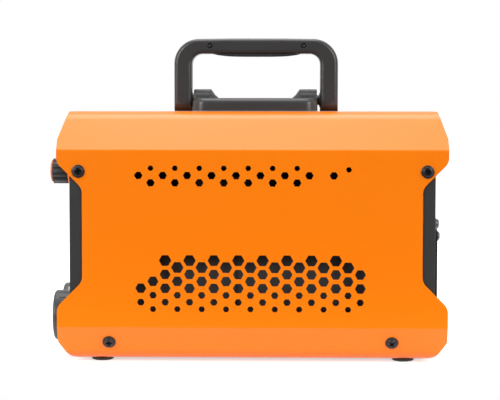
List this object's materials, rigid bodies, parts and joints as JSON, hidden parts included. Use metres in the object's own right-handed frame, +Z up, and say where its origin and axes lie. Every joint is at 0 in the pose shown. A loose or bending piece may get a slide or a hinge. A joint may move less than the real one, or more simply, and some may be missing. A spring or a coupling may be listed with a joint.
{
  "type": "stick welding inverter",
  "caption": "Portable stick welding inverter: wrapped sheet case with hexagonal vents, folding carry handle, weld sockets, current knob and rear cooling fan.",
  "frame": {"origin": "centre of the overall box, on the plane the feet stand on", "axes": "+Z up; -X is the front with the weld sockets and knob, +X the rear with the fan; -Y is the pictured side"},
  "size_m": [0.3156, 0.1358, 0.2567],
  "materials": {
    "orange_powder_coat": "satin powder coat",
    "black_sheet": "satin black",
    "dark_grey_plastic": "fine texture",
    "black_rubber": "matte",
    "black_steel": "black oxide",
    "zinc_steel": "zinc plated",
    "orange_plastic": "satin",
    "black_plastic": "fine texture",
    "smoked_window": "gloss",
    "green_lens": "gloss",
    "yellow_lens": "gloss",
    "circuit_board": "solder resist",
    "brass": "machined",
    "copper": "bare copper",
    "black_aluminium": "black anodised",
    "ferrite": "matte"
  },
  "bodies": {
    "case": {"base_tray": "black_sheet", "bus_capacitor_front": "black_plastic", "bus_capacitor_rear": "black_plastic", "busbar_negative": "copper", "busbar_positive": "copper", "cable_gland": "black_plastic", "case_cover": "orange_powder_coat", "control_board": "circuit_board", "cover_screw_lower_front_left": "black_steel", "cover_screw_lower_front_right": "black_steel", "cover_screw_lower_rear_left": "black_steel", "cover_screw_lower_rear_right": "black_steel", "cover_screw_upper_front_left": "black_steel", "cover_screw_upper_front_right": "black_steel", "cover_screw_upper_rear_left": "black_steel", "cover_screw_upper_rear_right": "black_steel", "current_potentiometer": "zinc_steel", "diode_heatsink": "black_aluminium", "display_board": "circuit_board", "display_window": "smoked_window", "earth_bolt": "zinc_steel", "fan_frame": "black_plastic", "fan_guard": "black_plastic", "fault_lens": "yellow_lens", "foot_front_left": "black_rubber", "foot_front_right": "black_rubber", "foot_rear_left": "black_rubber", "foot_rear_right": "black_rubber", "front_panel": "dark_grey_plastic", "gland_nut": "black_plastic", "guard_screw_lower_left": "zinc_steel", "guard_screw_lower_right": "zinc_steel", "guard_screw_upper_left": "zinc_steel", "guard_screw_upper_right": "zinc_steel", "handle_base": "dark_grey_plastic", "output_choke": "copper", "panel_screw_left": "zinc_steel", "panel_screw_right": "zinc_steel", "pivot_pin_front": "zinc_steel", "pivot_pin_rear": "zinc_steel", "power_board": "circuit_board", "power_lens": "green_lens", "rear_panel": "dark_grey_plastic", "socket_contact_negative": "brass", "socket_contact_positive": "brass", "switch_heatsink": "black_aluminium", "switch_housing": "black_plastic", "transformer_core": "ferrite", "transformer_winding": "copper", "weld_socket_negative": "black_plastic", "weld_socket_positive": "black_plastic"},
    "handle": {"handle": "dark_grey_plastic", "grip_pad": "black_rubber", "grip_screw_front": "black_steel", "grip_screw_rear": "black_steel"},
    "knob": {"knob_core": "orange_plastic", "knob_grip": "black_plastic"},
    "button": {"mode_button": "orange_plastic"},
    "fan": {"fan_rotor": "black_plastic"},
    "rocker": {"power_rocker": "black_plastic"}
  },
  "joints": [
    {"name": "handle_fold", "type": "hinge", "parent": "case", "child": "handle", "pos_m": [0.00685, 0, 0.207], "axis": [1, 0, 0], "range_deg": [-90, 90]},
    {"name": "knob_turn", "type": "hinge", "parent": "case", "child": "knob", "pos_m": [-0.13785, -0.024, 0.15], "axis": [-1, 0, 0], "range_deg": [-135, 135]},
    {"name": "button_press", "type": "slide", "parent": "case", "child": "button", "axis": [1, 0, 0], "range_m": [0, 0.001], "stiffness_N_per_m": 600, "springref_m": -0.002},
    {"name": "fan_spin", "type": "hinge", "parent": "case", "child": "fan", "pos_m": [0.14775, 0, 0.0635], "axis": [1, 0, 0], "continuous": true},
    {"name": "rocker_tip", "type": "hinge", "parent": "case", "child": "rocker", "pos_m": [0.14775, -0.02, 0.1735], "axis": [0, -1, 0], "range_deg": [0, 20]}
  ]
}
